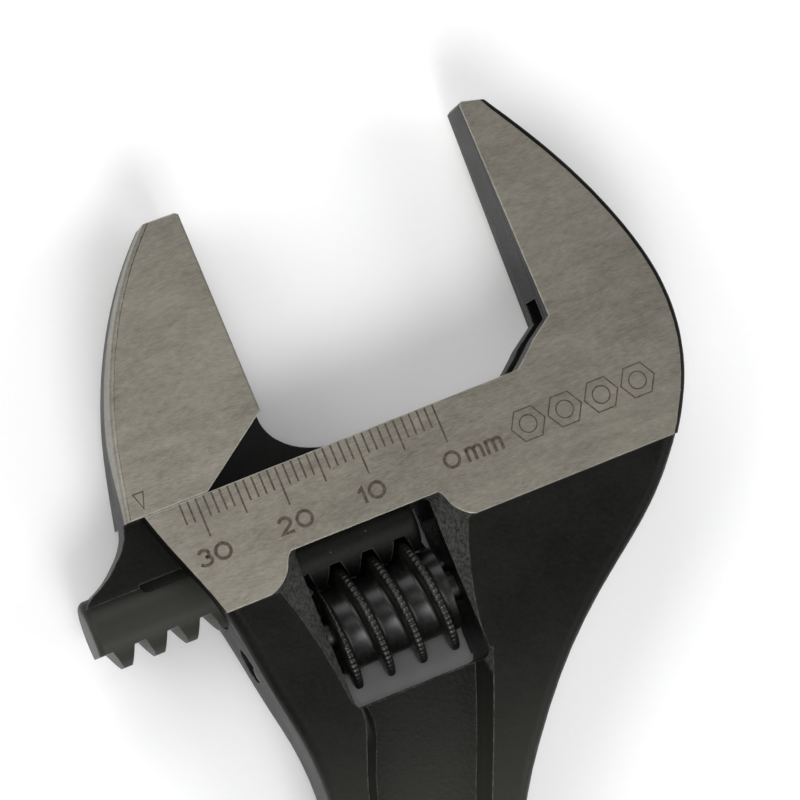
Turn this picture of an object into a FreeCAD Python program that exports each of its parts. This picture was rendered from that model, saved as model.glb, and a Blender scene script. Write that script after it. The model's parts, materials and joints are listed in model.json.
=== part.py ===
import FreeCAD, Part
import math
import os
import Sketcher

# Adjustable wrench, 250 mm nominal, in five pieces: the forging (fixed jaw, head and
# handle in one), the sliding jaw with its rack, the worm, the worm's pin and its spring.
#
# The part's own frame: the wrench lies flat, +Z up out of its mid-plane, the handle
# along Y with the head towards +Y, and the origin on the axis of the hang hole.
# The head is turned on the handle, so every head feature is drawn in the head frame:
#   X along the slide, towards the fixed jaw (X = 0 is the fixed jaw's gripping face),
#   Y towards the jaw tips (Y = 0 is the slide surface), Z through the thickness.
# The pieces are drawn there, and their Placement turns them into the part's frame.

doc = FreeCAD.newDocument("adjustable_wrench")

# ---------------------------------------------------------------------------
# Driving dimensions (millimetres and degrees)
# ---------------------------------------------------------------------------
DRIVING = [
    ("head_angle", 22.5, "angle between the slide and the square of the handle"),
    ("head_offset", 14.65, "slide origin, across from the handle's axis"),
    ("head_distance", 212.0, "slide origin, along the handle from the hang hole"),
    ("opening", 36.0, "gap between the jaw faces as drawn, the open stop"),
    ("slide_gap", 0.05, "running gap under the sliding jaw"),
    ("head_thickness", 14.1, "thickness over the ground faces at the slide surface"),
    ("wedge_angle", 5.18, "lean of each ground face, thinner towards the tips"),
    ("band_depth", 13.84, "slide surface down to the lower edge of the ground band"),
    ("cheek_thickness", 15.3, "thickness of the forged cheeks below the band"),
    ("handle_thickness", 11.5, "thickness over the handle's rails"),
    ("taper_end", 46.0, "depth below the slide where the cheeks reach handle thickness"),
    ("edge_radius", 1.4, "rounding of the forging's outer edges"),
    ("back_radius", 0.6, "rounding along the backs of both jaws"),
    ("web_panel", 5.5, "thickness of the handle's sunk panel"),
    ("panel_draft", 25.0, "draft of the sunk panel's walls"),
    ("hang_radius", 5.5, "radius of the hang hole"),
    ("hang_chamfer", 0.9, "chamfer round the hang hole"),
    ("end_radius", 13.2, "radius of the handle's end, about the hang hole"),
    ("bore_depth", 10.9, "slide surface down to the rack's axis"),
    ("bore_radius", 4.68, "radius of the rack's bore in the head"),
    ("slot_width", 6.1, "width of the slot for the jaw's web"),
    ("slot_end", 7.4, "blind end of the slot beyond the fixed jaw's face"),
    ("notch_height", 7.2, "top of the slot in the root of the fixed jaw"),
    ("window_left", 38.4, "worm window, far wall from the fixed jaw's face"),
    ("window_right", 21.3, "worm window, near wall"),
    ("window_top", 9.9, "worm window, upper edge below the slide surface"),
    ("window_bottom", 29.9, "worm window, lower edge below the slide surface"),
    ("window_radius", 0.8, "corner radius of the worm window"),
    ("rack_radius", 4.6, "radius of the rack's round bar"),
    ("rack_left", 63.7, "free end of the rack, from the fixed jaw's face"),
    ("rack_right", 23.2, "other end of the rack"),
    ("rack_root", 13.1, "depth of the tooth roots below the slide surface"),
    ("rack_tip", 15.3, "depth of the tooth tips"),
    ("first_gap", 58.75, "middle of the first whole tooth gap"),
    ("gap_count", 9, "number of whole tooth gaps"),
    ("gap_root", 1.35, "width of a tooth gap at the root"),
    ("tip_land", 1.1, "width of a tooth's tip"),
    ("pitch", 4.1, "pitch of the rack and of the worm"),
    ("web_width", 5.9, "thickness of the jaw's web and gusset"),
    ("worm_depth", 20.55, "worm's axis below the slide surface"),
    ("worm_radius", 7.3, "outer radius of the worm"),
    ("worm_root", 5.05, "radius at the bottom of the worm's thread"),
    ("worm_left", 37.35, "far end of the worm, from the fixed jaw's face"),
    ("worm_length", 14.7, "length of the worm"),
    ("crest_width", 0.95, "width of the thread's crest"),
    ("crest_base", 1.55, "width of the thread at its root"),
    ("worm_bore", 2.06, "radius of the worm's bore"),
    ("spring_bore", 3.5, "radius of the worm's pocket for the spring"),
    ("spring_pocket", 4.9, "depth of that pocket"),
    ("pin_radius", 2.0, "radius of the pin that the worm turns on"),
    ("pin_head_radius", 2.25, "radius of the pin's screwed end"),
    ("pin_left", 47.0, "slotted end of the pin, from the fixed jaw's face"),
    ("pin_shoulder", 39.4, "shoulder between the screwed end and the shank"),
    ("pin_right", 16.6, "inner end of the pin"),
    ("pin_hole_end", 16.3, "bottom of the pin's blind hole"),
    ("driver_slot", 0.8, "width and depth of the screwdriver slot"),
    ("wire_radius", 0.3, "radius of the spring's wire"),
    ("spring_radius", 2.75, "mean radius of the spring"),
    ("spring_turns", 4, "turns of the spring"),
]

sheet = doc.addObject("Spreadsheet::Sheet", "Sizes")
for row, (alias, number, note) in enumerate(DRIVING, start=1):
    sheet.set("A%d" % row, alias)
    sheet.set("B%d" % row, str(number))
    sheet.set("C%d" % row, note)
    sheet.setAlias("B%d" % row, alias)
doc.recompute()


class Size:
    """A length that carries its value and the spreadsheet formula behind it."""

    def __init__(self, value, formula):
        self.value = value
        self.formula = formula

    def __add__(self, other):
        other = as_size(other)
        return Size(self.value + other.value, "(%s + %s)" % (self.formula, other.formula))

    def __sub__(self, other):
        other = as_size(other)
        return Size(self.value - other.value, "(%s - %s)" % (self.formula, other.formula))

    def __mul__(self, factor):
        return Size(self.value * factor, "(%s * %r)" % (self.formula, factor))

    def __neg__(self):
        return self * -1.0


def as_size(number):
    return number if isinstance(number, Size) else Size(float(number), repr(float(number)))


def size(alias):
    """The sheet's cell with this alias."""
    return Size(float(sheet.get(alias)), "Sizes.%s" % alias)


def mm(alias):
    return float(sheet.get(alias))


def bind(feature, name, length):
    feature.setExpression(name, as_size(length).formula)


# ---------------------------------------------------------------------------
# Sketch and feature helpers
# ---------------------------------------------------------------------------
def new_body(label):
    body = doc.addObject("PartDesign::Body", label)
    body.Label = label
    return body


def origin_part(body, role):
    return next(item for item in body.Origin.OriginFeatures if item.Role == role)


def new_sketch(body, name, role, height=0.0):
    """An empty sketch on one of the body's origin planes, lifted by height."""
    sketch = body.newObject("Sketcher::SketchObject", name)
    sketch.AttachmentSupport = (origin_part(body, role), [""])
    sketch.MapMode = "FlatFace"
    bind(sketch, "AttachmentOffset.Base.z", height)
    return sketch


def pin_point(sketch, edge, end, point):
    """Hold an edge's end (1 start, 2 end, 3 centre) at a point given by sizes."""
    for kind, coordinate in zip(("DistanceX", "DistanceY"), point):
        coordinate = as_size(coordinate)
        index = sketch.addConstraint(Sketcher.Constraint(kind, -1, 1, edge, end, coordinate.value))
        sketch.setExpression("Constraints[%d]" % index, coordinate.formula)


def vector(point):
    return FreeCAD.Vector(as_size(point[0]).value, as_size(point[1]).value, 0.0)


def add_polygon(sketch, points):
    """A closed polygon whose corners follow the sheet."""
    count = len(points)
    edges = []
    for index in range(count):
        segment = Part.LineSegment(vector(points[index]), vector(points[(index + 1) % count]))
        edges.append(sketch.addGeometry(segment, False))
    for index, edge in enumerate(edges):
        following = edges[(index + 1) % count]
        sketch.addConstraint(Sketcher.Constraint("Coincident", edge, 2, following, 1))
        pin_point(sketch, edge, 1, points[index])


def add_circle(sketch, centre, radius):
    """A circle whose centre and radius follow the sheet."""
    radius = as_size(radius)
    circle = Part.Circle(vector(centre), FreeCAD.Vector(0, 0, 1), radius.value)
    edge = sketch.addGeometry(circle, False)
    pin_point(sketch, edge, 3, centre)
    index = sketch.addConstraint(Sketcher.Constraint("Radius", edge, radius.value))
    sketch.setExpression("Constraints[%d]" % index, radius.formula)


def add_outline(sketch, pieces):
    """A closed outline of lines, arcs and splines, held where the curves put it."""
    for piece in pieces:
        edge = sketch.addGeometry(piece, False)
        sketch.addConstraint(Sketcher.Constraint("Block", edge))


def line(start, end):
    return Part.LineSegment(FreeCAD.Vector(*start, 0), FreeCAD.Vector(*end, 0))


def arc(start, middle, end):
    places = [FreeCAD.Vector(*point, 0) for point in (start, middle, end)]
    return Part.Arc(*places)


def spline(points):
    curve = Part.BSplineCurve()
    curve.interpolate([FreeCAD.Vector(*point, 0) for point in points])
    return curve


def rounded_box(left, right, low, high, radius):
    """The outline of a rectangle with round corners."""
    inset = radius * (1 - math.sqrt(0.5))
    return [
        line((left + radius, low), (right - radius, low)),
        arc((right - radius, low), (right - inset, low + inset), (right, low + radius)),
        line((right, low + radius), (right, high - radius)),
        arc((right, high - radius), (right - inset, high - inset), (right - radius, high)),
        line((right - radius, high), (left + radius, high)),
        arc((left + radius, high), (left + inset, high - inset), (left, high - radius)),
        line((left, high - radius), (left, low + radius)),
        arc((left, low + radius), (left + inset, low + inset), (left + radius, low)),
    ]


def piece_of(curve, start, end):
    """The stretch of a spline between two of its points."""
    stretch = curve.copy()
    limits = [stretch.parameter(FreeCAD.Vector(*point, 0)) for point in (start, end)]
    stretch.segment(*limits)
    return stretch


def pad(body, sketch, length, midplane=True):
    feature = body.newObject("PartDesign::Pad", sketch.Name + "_pad")
    feature.Profile = sketch
    feature.Midplane = midplane
    bind(feature, "Length", length)
    sketch.Visibility = False
    return feature


def volume_of(body):
    doc.recompute()
    return body.Shape.Volume


def pocket(body, sketch, length, midplane=True, reverse=False, draft=None):
    """Cut a sketch out of the body, and make sure that something was cut."""
    before = volume_of(body)
    feature = body.newObject("PartDesign::Pocket", sketch.Name + "_pocket")
    feature.Profile = sketch
    feature.Midplane = midplane
    feature.Reversed = reverse
    bind(feature, "Length", length)
    if draft is not None:
        bind(feature, "TaperAngle", draft)
    sketch.Visibility = False
    after = volume_of(body)
    if after > before - 0.01:
        raise RuntimeError(feature.Name + " cut nothing")
    return feature


def loft_cut(body, floor, rim):
    """Cut the drafted space between two sketches, and make sure that something was cut."""
    before = volume_of(body)
    feature = body.newObject("PartDesign::SubtractiveLoft", floor.Name + "_loft")
    feature.Profile = floor
    feature.Sections = [rim]
    feature.Ruled = True
    floor.Visibility = False
    rim.Visibility = False
    after = volume_of(body)
    if after > before - 0.01:
        raise RuntimeError(feature.Name + " cut nothing")
    return feature


def dress_edges(body, kind, name, length, wanted):
    """Fillet or chamfer the edges of the body's last shape that the test picks."""
    doc.recompute()
    base = body.Tip
    picked = []
    for index, edge in enumerate(base.Shape.Edges, start=1):
        if wanted(edge):
            picked.append("Edge%d" % index)
    dressing = body.newObject("PartDesign::" + kind, name)
    dressing.Base = (base, picked)
    bind(dressing, "Radius" if kind == "Fillet" else "Size", length)
    doc.recompute()


def round_edges(body, name, radius, wanted):
    dress_edges(body, "Fillet", name, radius, wanted)


THROUGH = 60.0          # longer than any cut through the thickness
ACROSS = 400.0          # wider than any cut across the whole wrench
STOCK = 1.0             # extra thickness that the grinding or the taper takes off again
PIN_PLAY = 0.03         # room round the pin in its holes

HEAD_TURN = math.radians(mm("head_angle"))


def from_handle(across, along):
    """A point of the handle, measured from the hang hole, in the head frame."""
    east = across - mm("head_offset")
    north = along - mm("head_distance")
    return (
        east * math.cos(HEAD_TURN) + north * math.sin(HEAD_TURN),
        north * math.cos(HEAD_TURN) - east * math.sin(HEAD_TURN),
    )


def wedge_height(depth):
    """Half the thickness over the ground faces, at a depth below the slide surface."""
    return mm("head_thickness") / 2 + depth * math.tan(math.radians(mm("wedge_angle")))


# ---------------------------------------------------------------------------
# The forging: fixed jaw, head and handle
# ---------------------------------------------------------------------------
forging = new_body("forged_body")

BAND = -mm("band_depth")
RIGHT_SPLIT = (8.9, BAND)
LEFT_SPLIT = (-48.65, BAND)
END_TANGENT = (12.9, 2.8)           # where the handle's edges meet its round end

JAW_TIP = (3.2, 31.3)
right_edge = spline([
    JAW_TIP, (8.9, 21.3), (12.65, 12.0), (14.4, 3.0), (12.9, -6.6), RIGHT_SPLIT,
    (3.4, -20.1), (-5.2, -26.8), (-13.1, -33.8), (-19.5, -41.3),
    from_handle(11.3, 161.7), from_handle(10.0, 149.0), from_handle(10.1, 130.0),
    from_handle(11.3, 70.0), from_handle(12.6, 20.0), from_handle(*END_TANGENT),
])
left_edge = spline([
    (-53.3, 0.0), (-51.0, -6.9), LEFT_SPLIT, (-47.4, -20.7), (-46.35, -27.0),
    from_handle(-16.0, 166.5), from_handle(-13.05, 160.6), from_handle(-10.3, 150.0),
    from_handle(-10.1, 130.0), from_handle(-11.3, 70.0), from_handle(-12.6, 20.0),
    from_handle(-END_TANGENT[0], END_TANGENT[1]),
])
right_end = from_handle(*END_TANGENT)
left_end = from_handle(-END_TANGENT[0], END_TANGENT[1])

# cheeks and handle, up to the lower edge of the ground band
cheeks = new_sketch(forging, "handle_outline", "XY_Plane")
add_outline(cheeks, [
    piece_of(right_edge, RIGHT_SPLIT, right_end),
    arc(right_end, from_handle(0.0, -mm("end_radius")), left_end),
    piece_of(left_edge, LEFT_SPLIT, left_end),
    line(LEFT_SPLIT, RIGHT_SPLIT),
])
pad(forging, cheeks, size("cheek_thickness") + STOCK)

# the cheeks thin smoothly down to the handle's thickness
taper = new_sketch(forging, "handle_taper", "YZ_Plane")
cheek_top = mm("cheek_thickness") / 2
handle_top = mm("handle_thickness") / 2
taper_end = -mm("taper_end")
taper_drop = cheek_top - handle_top
taper_run = BAND - taper_end
BEYOND = -260.0
OUTSIDE = 14.0
for side in (1, -1):
    add_outline(taper, [
        arc((BAND, side * cheek_top),
            (taper_end + taper_run / 2, side * (handle_top + taper_drop / 4)),
            (taper_end, side * handle_top)),
        line((taper_end, side * handle_top), (BEYOND, side * handle_top)),
        line((BEYOND, side * handle_top), (BEYOND, side * OUTSIDE)),
        line((BEYOND, side * OUTSIDE), (BAND, side * OUTSIDE)),
        line((BAND, side * OUTSIDE), (BAND, side * cheek_top)),
    ])
pocket(forging, taper, ACROSS)


def on_outer_rim(edge):
    """Edges that run round the handle and cheeks, top and bottom."""
    box = edge.BoundBox
    upright = box.ZLength > 5.0
    along_band = box.YLength < 0.01 and abs(box.YMin - BAND) < 0.01
    across_taper = box.YLength < 0.01 and abs(box.YMin - taper_end) < 0.01
    return not (upright or along_band or across_taper)


round_edges(forging, "rim_rounding", size("edge_radius"), on_outer_rim)

# the sunk panel on each side of the handle, open into the worm window at its top
PANEL_END = 34.0                    # middle of the panel's round end, from the hang hole
PANEL_END_HALF = 6.6
PANEL_RISE = 7.0                    # the drafted walls are drawn to this height over the floor


def panel_outline(spread):
    """The panel's outline, wider all round by spread."""
    top_left = (-37.4 - spread, -29.0)
    top_right = (-22.5 + spread, -29.0)
    bottom_left = from_handle(-PANEL_END_HALF - spread, PANEL_END)
    bottom_right = from_handle(PANEL_END_HALF + spread, PANEL_END)
    bottom = from_handle(0.0, PANEL_END - PANEL_END_HALF - spread)
    left_side = [(-8.0, 170.3), (-6.7, 163.0), (-5.2, 152.0), (-5.0, 130.0), (-5.9, 75.0)]
    right_side = [(5.2, 170.0), (5.1, 155.0), (5.0, 130.0), (5.9, 75.0)]
    left_points = [from_handle(across - spread, along) for across, along in left_side]
    right_points = [from_handle(across + spread, along) for across, along in right_side]
    return [
        spline([top_left] + left_points + [bottom_left]),
        arc(bottom_left, bottom, bottom_right),
        spline([bottom_right] + right_points[::-1] + [top_right]),
        line(top_right, top_left),
    ]


for name, side in (("panel_front", 1.0), ("panel_back", -1.0)):
    floor_height = size("web_panel") * (0.5 * side)
    floor = new_sketch(forging, name, "XY_Plane", floor_height)
    add_outline(floor, panel_outline(0.0))
    rim = new_sketch(forging, name + "_rim", "XY_Plane", floor_height + PANEL_RISE * side)
    add_outline(rim, panel_outline(PANEL_RISE * math.tan(math.radians(mm("panel_draft")))))
    loft_cut(forging, floor, rim)

# the ground head: the band along the slide and the fixed jaw
head = new_sketch(forging, "head_outline", "XY_Plane")
add_outline(head, [
    piece_of(right_edge, JAW_TIP, RIGHT_SPLIT),
    line(RIGHT_SPLIT, LEFT_SPLIT),
    piece_of(left_edge, (-53.3, 0.0), LEFT_SPLIT),
    line((-53.3, 0.0), (-6.0, 0.0)),
    arc((-6.0, 0.0), (-4.3, 1.35), (-2.9, 2.6)),
    line((-2.9, 2.6), (0.0, 4.6)),
    line((0.0, 4.6), (0.0, 31.7)),
    line((0.0, 31.7), (0.4, 32.0)),
    line((0.4, 32.0), JAW_TIP),
])
pad(forging, head, 2 * wedge_height(-BAND) + STOCK)

# both faces ground to a wedge, from the band's lower edge out to the jaw's tip
TIP_CLEAR = 40.0
grinding = new_sketch(forging, "head_grinding", "YZ_Plane")
for side in (1, -1):
    add_outline(grinding, [
        line((BAND, side * wedge_height(-BAND)), (TIP_CLEAR, side * wedge_height(-TIP_CLEAR))),
        line((TIP_CLEAR, side * wedge_height(-TIP_CLEAR)), (TIP_CLEAR, side * OUTSIDE)),
        line((TIP_CLEAR, side * OUTSIDE), (BAND, side * OUTSIDE)),
        line((BAND, side * OUTSIDE), (BAND, side * wedge_height(-BAND))),
    ])
pocket(forging, grinding, ACROSS)


def on_jaw_back(edge):
    """The long edges of the ground faces along the fixed jaw's back."""
    box = edge.BoundBox
    behind = box.XMax > JAW_TIP[0] + 1.0 and box.XMin > JAW_TIP[0] - 0.1
    return behind and box.YLength > 20.0 and box.ZLength < 5.0


round_edges(forging, "jaw_back_rounding", size("back_radius"), on_jaw_back)

# worm window, right through, with corners rounded by the cutter
window = new_sketch(forging, "worm_window", "XY_Plane")
add_outline(window, rounded_box(
    -mm("window_left"), -mm("window_right"), -mm("window_bottom"), -mm("window_top"),
    mm("window_radius"),
))
pocket(forging, window, THROUGH)

# the window's sides are forged open: slanting flares from deep in the wall to the faces,
# whose rims sweep round into the band's lower edge
FLARE_FLOOR = 5.3
FLARE_TOP = 9.0
FLARE_BOTTOM = 1.0 - mm("window_bottom")
WINDOW_TOP = -mm("window_top")
FLOOR_LEFT = 0.3 - mm("window_left")
FLOOR_RIGHT = -0.3 - mm("window_right")
left_rim = [
    (-39.3, WINDOW_TOP), (-40.3, -10.8), (-40.8, -11.8), (-41.6, -12.7), (-42.6, -13.35),
    (-44.2, BAND),
]
right_rim = [
    (-19.8, WINDOW_TOP), (-19.1, -11.0), (-18.7, -12.05), (-18.1, -12.75), (-17.3, -13.4),
    (-16.0, BAND),
]
for name, side in (("flare_front", 1.0), ("flare_back", -1.0)):
    floor = new_sketch(forging, name, "XY_Plane", FLARE_FLOOR * side)
    add_outline(floor, [
        line((FLOOR_LEFT, WINDOW_TOP), (FLOOR_LEFT, BAND)),
        line((FLOOR_LEFT, BAND), (FLOOR_LEFT, FLARE_BOTTOM)),
        line((FLOOR_LEFT, FLARE_BOTTOM), (FLOOR_RIGHT, FLARE_BOTTOM)),
        line((FLOOR_RIGHT, FLARE_BOTTOM), (FLOOR_RIGHT, BAND)),
        line((FLOOR_RIGHT, BAND), (FLOOR_RIGHT, WINDOW_TOP)),
        line((FLOOR_RIGHT, WINDOW_TOP), (FLOOR_LEFT, WINDOW_TOP)),
    ])
    rim = new_sketch(forging, name + "_rim", "XY_Plane", FLARE_TOP * side)
    left_foot = (FLOOR_LEFT - 2.2, FLARE_BOTTOM)
    right_foot = (FLOOR_RIGHT, FLARE_BOTTOM)
    add_outline(rim, [
        spline(left_rim),
        line(left_rim[-1], left_foot),
        line(left_foot, right_foot),
        line(right_foot, right_rim[-1]),
        spline(right_rim[::-1]),
        line(right_rim[0], left_rim[0]),
    ])
    loft_cut(forging, floor, rim)

# keyhole for the rack: a round bore right through the head, and a slot up to the slide
bore = new_sketch(forging, "rack_bore", "YZ_Plane")
add_circle(bore, (-size("bore_depth"), 0.0), size("bore_radius"))
pocket(forging, bore, ACROSS)
slot = new_sketch(forging, "web_slot", "XY_Plane")
add_polygon(slot, [
    (-60.0, -size("bore_depth")),
    (size("slot_end"), -size("bore_depth")),
    (size("slot_end"), size("notch_height") - 3.0),
    (size("slot_end") - 3.0, size("notch_height")),
    (-60.0, size("notch_height")),
])
pocket(forging, slot, size("slot_width"))

# hole for the worm's pin: tapped at the far side, blind in the near wall
pin_hole = new_sketch(forging, "pin_hole", "YZ_Plane", -size("pin_shoulder"))
add_circle(pin_hole, (-size("worm_depth"), 0.0), size("pin_radius") + PIN_PLAY)
pocket(forging, pin_hole, size("pin_shoulder") - size("pin_hole_end"), midplane=False, reverse=True)
thread_hole = new_sketch(forging, "pin_thread_hole", "YZ_Plane", -size("pin_shoulder"))
add_circle(thread_hole, (-size("worm_depth"), 0.0), size("pin_head_radius") + PIN_PLAY)
pocket(forging, thread_hole, 20.0, midplane=False)

# hang hole
hang_centre = from_handle(0.0, 0.0)
hang = new_sketch(forging, "hang_hole", "XY_Plane")
add_circle(hang, hang_centre, size("hang_radius"))
pocket(forging, hang, THROUGH)


def on_hang_hole(edge):
    """The two rims of the hang hole."""
    curve = edge.Curve
    if not isinstance(curve, Part.Circle):
        return False
    centred = (curve.Center - FreeCAD.Vector(*hang_centre, curve.Center.z)).Length < 0.01
    return centred and abs(curve.Radius - mm("hang_radius")) < 0.01


dress_edges(forging, "Chamfer", "hang_hole_chamfer", size("hang_chamfer"), on_hang_hole)

# ---------------------------------------------------------------------------
# The sliding jaw, with its web, gusset and rack
# ---------------------------------------------------------------------------
jaw = new_body("sliding_jaw")
JAW_FACE = -mm("opening")
JAW_FOOT = mm("slide_gap")

jaw_block = new_sketch(jaw, "jaw_outline", "XY_Plane")
JAW_CORNER = (-55.5, JAW_FOOT)
BACK_TOP = (-40.3, 32.0)
add_outline(jaw_block, [
    line((JAW_FACE, 6.6), (JAW_FACE, 31.6)),
    line((JAW_FACE, 31.6), (JAW_FACE - 0.4, 31.9)),
    line((JAW_FACE - 0.4, 31.9), BACK_TOP),
    spline([BACK_TOP, (-44.9, 26.8), (-49.5, 19.4), (-52.7, 11.7), (-54.8, 3.4), JAW_CORNER]),
    line(JAW_CORNER, (JAW_FACE - 9.35, JAW_FOOT)),
    line((JAW_FACE - 9.35, JAW_FOOT), (JAW_FACE, 6.6)),
])
pad(jaw, jaw_block, 2 * wedge_height(0.0) + STOCK)
jaw_grinding = new_sketch(jaw, "jaw_grinding", "YZ_Plane")
for side in (1, -1):
    add_outline(jaw_grinding, [
        line((-1.0, side * wedge_height(1.0)), (TIP_CLEAR, side * wedge_height(-TIP_CLEAR))),
        line((TIP_CLEAR, side * wedge_height(-TIP_CLEAR)), (TIP_CLEAR, side * OUTSIDE)),
        line((TIP_CLEAR, side * OUTSIDE), (-1.0, side * OUTSIDE)),
        line((-1.0, side * OUTSIDE), (-1.0, side * wedge_height(1.0))),
    ])
pocket(jaw, jaw_grinding, ACROSS)



def on_jaw_spine(edge):
    """The long edges of the ground faces along the sliding jaw's back."""
    box = edge.BoundBox
    return box.XMax < BACK_TOP[0] + 0.1 and box.YLength > 20.0 and box.ZLength < 5.0


round_edges(jaw, "jaw_spine_rounding", size("back_radius"), on_jaw_spine)

# rack bar
bar = new_sketch(jaw, "rack_bar", "YZ_Plane", -size("rack_left"))
add_circle(bar, (-size("bore_depth"), 0.0), size("rack_radius"))
pad(jaw, bar, size("rack_left") - size("rack_right"), midplane=False)


BAR_ROUNDING = 0.9


def at_bar_end(edge):
    """The rims of the rack bar's two ends."""
    curve = edge.Curve
    return isinstance(curve, Part.Circle) and abs(curve.Radius - mm("rack_radius")) < 0.01


round_edges(jaw, "bar_end_rounding", BAR_ROUNDING, at_bar_end)

# web down to the bar, with the hollow heel at its free end and the gusset under the face
web = new_sketch(jaw, "jaw_web", "XY_Plane")
HEEL_FOOT = (-63.2, -7.5)
WEB_END = -29.0
GUSSET_TOP = (JAW_FACE, 7.3)
GUSSET_TOE = (WEB_END, 0.0)
WEB_BOTTOM = -mm("bore_depth")
add_outline(web, [
    line(GUSSET_TOP, (JAW_FACE - 8.0, 7.3)),
    line((JAW_FACE - 8.0, 7.3), JAW_CORNER),
    spline([JAW_CORNER, (-56.3, -1.9), (-57.9, -3.7), (-60.3, -5.5), (-62.2, -6.5), HEEL_FOOT]),
    line(HEEL_FOOT, (HEEL_FOOT[0], WEB_BOTTOM)),
    line((HEEL_FOOT[0], WEB_BOTTOM), (WEB_END, WEB_BOTTOM)),
    line((WEB_END, WEB_BOTTOM), GUSSET_TOE),
    spline([GUSSET_TOE, (-32.7, 1.1), (-35.0, 3.0), GUSSET_TOP]),
])
pad(jaw, web, size("web_width"))

# relief milled along both sides of the web, just over the bar, with a round run-out
RELIEF_LOW = -8.2
RELIEF_HIGH = -7.0
RELIEF_LEFT = -56.6
RELIEF_RIGHT = -24.0
RELIEF_FLOOR = 2.0
relief_middle = (RELIEF_LOW + RELIEF_HIGH) / 2
for name, side in (("relief_front", 1.0), ("relief_back", -1.0)):
    relief = new_sketch(jaw, name, "XY_Plane", RELIEF_FLOOR * side)
    run_out = (RELIEF_LEFT + (RELIEF_HIGH - RELIEF_LOW), RELIEF_LOW)
    add_outline(relief, [
        arc((RELIEF_LEFT + 0.3, RELIEF_HIGH), (RELIEF_LEFT + 0.35, relief_middle - 0.15), run_out),
        line(run_out, (RELIEF_RIGHT, RELIEF_LOW)),
        line((RELIEF_RIGHT, RELIEF_LOW), (RELIEF_RIGHT, RELIEF_HIGH)),
        line((RELIEF_RIGHT, RELIEF_HIGH), (RELIEF_LEFT + 0.3, RELIEF_HIGH)),
    ])
    pocket(jaw, relief, OUTSIDE, midplane=False, reverse=side > 0)

# tooth gaps: one sketch, repeated along the bar, and the bar's toothless free end
FLAT = 17.0
gap = new_sketch(jaw, "tooth_gap", "XY_Plane")
half_root = size("gap_root") * 0.5
half_mouth = (size("pitch") - size("tip_land")) * 0.5
add_polygon(gap, [
    (-size("first_gap") - half_root, -size("rack_root")),
    (-size("first_gap") - half_mouth, -size("rack_tip")),
    (-size("first_gap") - half_mouth, -FLAT),
    (-size("first_gap") + half_mouth, -FLAT),
    (-size("first_gap") + half_mouth, -size("rack_tip")),
    (-size("first_gap") + half_root, -size("rack_root")),
])
gap_pocket = pocket(jaw, gap, THROUGH)
gap_row = jaw.newObject("PartDesign::LinearPattern", "tooth_gaps")
gap_row.Originals = [gap_pocket]
gap_row.Direction = (origin_part(jaw, "X_Axis"), [""])
gap_row.Occurrences = int(mm("gap_count"))
bind(gap_row, "Length", size("pitch") * (mm("gap_count") - 1))
jaw.Tip = gap_row
plain_end = new_sketch(jaw, "plain_end", "XY_Plane")
add_polygon(plain_end, [
    (-size("first_gap") - size("pitch") + half_root, -size("rack_root")),
    (-size("first_gap") - size("pitch") + half_mouth, -size("rack_tip")),
    (-size("first_gap") - size("pitch") + half_mouth, -FLAT),
    (-70.0, -FLAT),
    (-70.0, -size("rack_root")),
])
pocket(jaw, plain_end, THROUGH)
tooth_flat = new_sketch(jaw, "tooth_flat", "XY_Plane")
add_polygon(tooth_flat, [
    (-70.0, -size("rack_tip")),
    (-70.0, -FLAT),
    (-10.0, -FLAT),
    (-10.0, -size("rack_tip")),
])
pocket(jaw, tooth_flat, THROUGH)
doc.recompute()

# ---------------------------------------------------------------------------
# The worm: drawn about its own axis, along X, from its far end
# ---------------------------------------------------------------------------
worm = new_body("worm")
blank = new_sketch(worm, "worm_blank", "YZ_Plane")
add_circle(blank, (0.0, 0.0), size("worm_radius"))
pad(worm, blank, size("worm_length"), midplane=False)


def at_blank_end(edge):
    return isinstance(edge.Curve, Part.Circle)


WORM_ROUNDING = 0.5
round_edges(worm, "worm_rims", WORM_ROUNDING, at_blank_end)

# the groove between the crests, wound right-handed about +X; over the rack its middle
# stands halfway between two tooth gaps of the rack
thread = new_sketch(worm, "worm_thread", "XY_Plane")
half_top = (size("pitch") - size("crest_width")) * 0.5
half_bottom = (size("pitch") - size("crest_base")) * 0.5
LEAD_IN = 2                          # whole turns cut before the worm's far end
groove = size("worm_left") - size("first_gap") + size("pitch") * (5.5 - LEAD_IN)
CLEAR = 1.0
add_polygon(thread, [
    (groove - half_bottom, size("worm_root")),
    (groove - half_top, size("worm_radius")),
    (groove - half_top, size("worm_radius") + CLEAR),
    (groove + half_top, size("worm_radius") + CLEAR),
    (groove + half_top, size("worm_radius")),
    (groove + half_bottom, size("worm_root")),
])
helix = worm.newObject("PartDesign::SubtractiveHelix", "thread_helix")
helix.Profile = thread
helix.ReferenceAxis = (origin_part(worm, "X_Axis"), [""])
helix.Mode = 0
bind(helix, "Pitch", size("pitch"))
bind(helix, "Height", size("worm_length") + size("pitch") * (LEAD_IN + 1.5))
helix.LeftHanded = False
thread.Visibility = False
doc.recompute()

worm_bore = new_sketch(worm, "worm_bore", "YZ_Plane", -1.0)
add_circle(worm_bore, (0.0, 0.0), size("worm_bore"))
pocket(worm, worm_bore, size("worm_length") + 2.0, midplane=False, reverse=True)
spring_pocket = new_sketch(worm, "spring_pocket", "YZ_Plane", size("worm_length") - size("spring_pocket"))
add_circle(spring_pocket, (0.0, 0.0), size("spring_bore"))
pocket(worm, spring_pocket, size("spring_pocket") + 1.0, midplane=False, reverse=True)

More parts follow.
